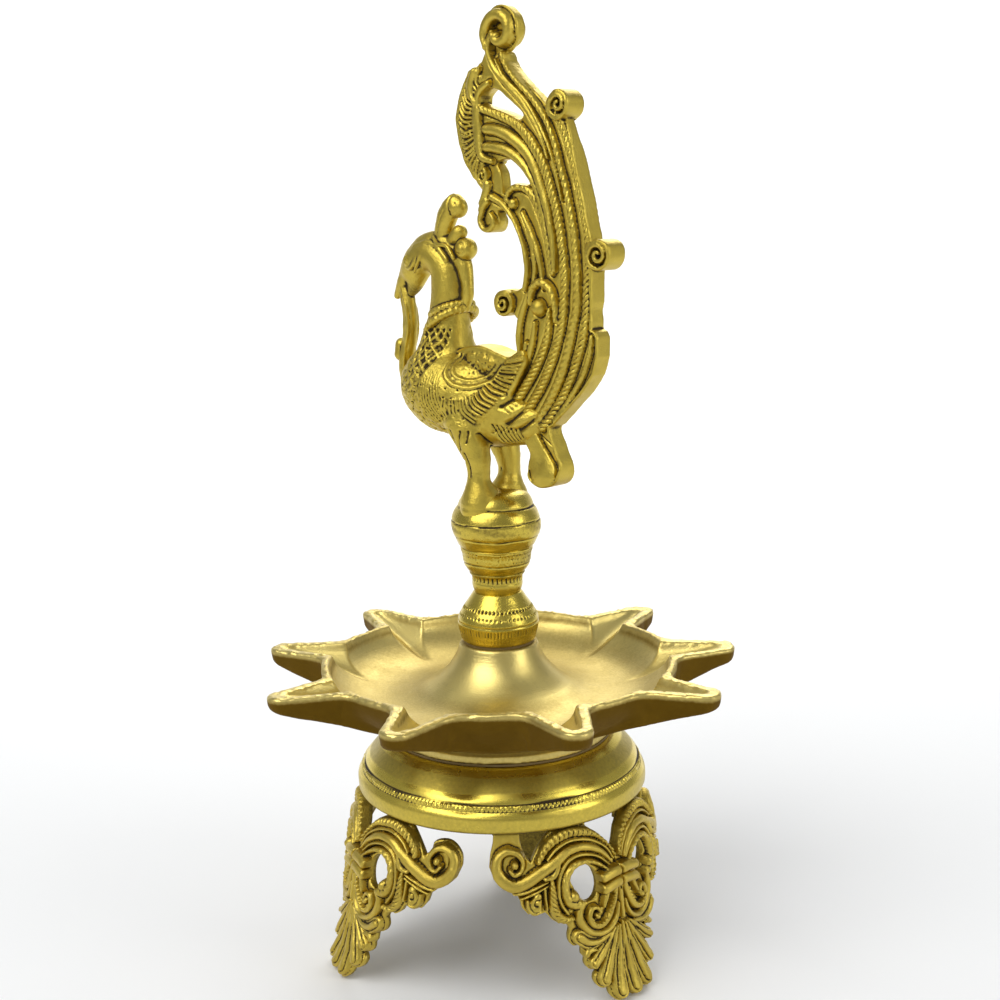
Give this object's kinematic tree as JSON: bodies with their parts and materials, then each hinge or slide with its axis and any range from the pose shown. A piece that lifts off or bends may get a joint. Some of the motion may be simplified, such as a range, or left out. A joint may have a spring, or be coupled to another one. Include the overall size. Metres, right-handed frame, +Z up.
{
  "type": "standing oil lamp",
  "caption": "Standing brass oil lamp: open bowl with pointed wick spouts on a round base with openwork scroll legs, and a turned stem with a peacock finial.",
  "frame": {"origin": "on the floor, on the axis of the bowl and stem", "axes": "+Z up along the lamp's axis; the lamp's front faces -Y and its right is +X"},
  "size_m": [0.1718, 0.1711, 0.3346],
  "materials": {
    "antique_brass": "cast brass, dark patina in the recesses, brushed bright on the high parts",
    "polished_brass": "turned and polished",
    "bowl_brass": "turned and polished inside, granular as cast on the rim and spouts",
    "engraved_brass": "turned, polished, with punched dots and engraved lines",
    "screw_brass": "plain machined",
    "washer_leather": "dark oiled leather"
  },
  "bodies": {
    "base": {"base_dome": "polished_brass", "leg_left": "antique_brass", "leg_right": "antique_brass", "leg_rear": "antique_brass", "leg_screws": "screw_brass", "bowl_stud": "screw_brass", "stud_washer": "screw_brass", "stud_nut": "screw_brass"},
    "bowl_seal": {"bowl_washer": "washer_leather"},
    "bowl": {"oil_bowl": "bowl_brass"},
    "stem_seal": {"stem_washer": "washer_leather"},
    "stem": {"stem_foot": "engraved_brass", "stem_collar": "engraved_brass", "stem_vase": "engraved_brass", "stem_plinth": "engraved_brass", "tie_rod": "screw_brass", "rod_nut": "screw_brass", "peacock_body": "antique_brass", "peacock_tail": "antique_brass"}
  },
  "joints": [
    {"name": "bowl_lift", "type": "slide", "parent": "base", "child": "bowl_seal", "axis": [0, 0, 1], "range_m": [0, 0.012]},
    {"name": "bowl_turn", "type": "hinge", "parent": "bowl_seal", "child": "bowl", "pos_m": [0, 0, 0.09], "axis": [0, 0, 1], "range_deg": [0, 2880]},
    {"name": "stem_lift", "type": "slide", "parent": "bowl", "child": "stem_seal", "axis": [0, 0, 1], "range_m": [0, 0.012]},
    {"name": "stem_turn", "type": "hinge", "parent": "stem_seal", "child": "stem", "pos_m": [0, 0, 0.12], "axis": [0, 0, 1], "range_deg": [0, 2880]}
  ],
  "couplings": [
    {"joint": "bowl_lift", "follows": "bowl_turn", "m_per_rad": 0.00023873},
    {"joint": "stem_lift", "follows": "stem_turn", "m_per_rad": 0.00023873}
  ]
}
